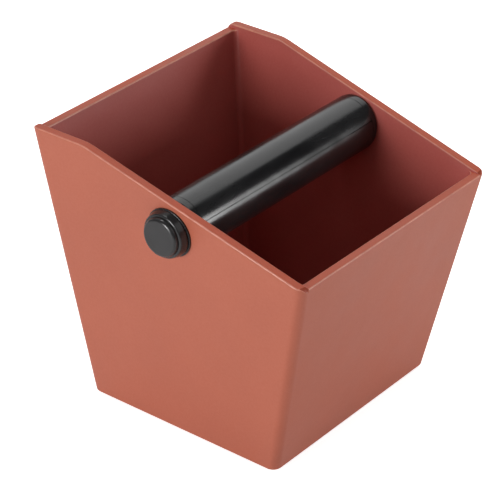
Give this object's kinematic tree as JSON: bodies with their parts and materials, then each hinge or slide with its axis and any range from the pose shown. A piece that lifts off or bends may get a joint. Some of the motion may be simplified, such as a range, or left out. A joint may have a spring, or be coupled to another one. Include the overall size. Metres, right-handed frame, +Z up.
{
  "type": "espresso knock box",
  "caption": "Free-standing tapered knock box with a high back and low front, and a rubber-sleeved bar held across it by grommets and end caps.",
  "frame": {"origin": "on the surface that the feet stand on, under the middle of the whole object", "axes": "+X along the knock bar to the right, +Y towards the high back wall, +Z up"},
  "size_m": [0.1586, 0.1551, 0.1452],
  "materials": {
    "body_plastic": "satin",
    "bar_rubber": "satin",
    "grommet_rubber": "satin",
    "cap_plastic": "satin",
    "tube_steel": "satin",
    "foot_rubber": "matte"
  },
  "bodies": {
    "box": {"box_body": "body_plastic", "left_grommet": "grommet_rubber", "right_grommet": "grommet_rubber", "foot_front_left": "foot_rubber", "foot_front_right": "foot_rubber", "foot_back_left": "foot_rubber", "foot_back_right": "foot_rubber"},
    "knock_bar": {"bar_sleeve": "bar_rubber"},
    "bar_core": {"core_tube": "tube_steel"},
    "left_cap": {"left_end_cap": "cap_plastic"},
    "right_cap": {"right_end_cap": "cap_plastic"}
  },
  "joints": [
    {"name": "bar_spin", "type": "hinge", "parent": "box", "child": "knock_bar", "pos_m": [0, -0.0035, 0.1166], "axis": [1, 0, 0], "continuous": true},
    {"name": "core_tube_pull", "type": "slide", "parent": "knock_bar", "child": "bar_core", "axis": [-1, 0, 0], "range_m": [0, 0.15]},
    {"name": "left_cap_pull", "type": "slide", "parent": "bar_core", "child": "left_cap", "axis": [-1, 0, 0], "range_m": [0, 0.02]},
    {"name": "right_cap_pull", "type": "slide", "parent": "knock_bar", "child": "right_cap", "axis": [1, 0, 0], "range_m": [0, 0.02]}
  ]
}
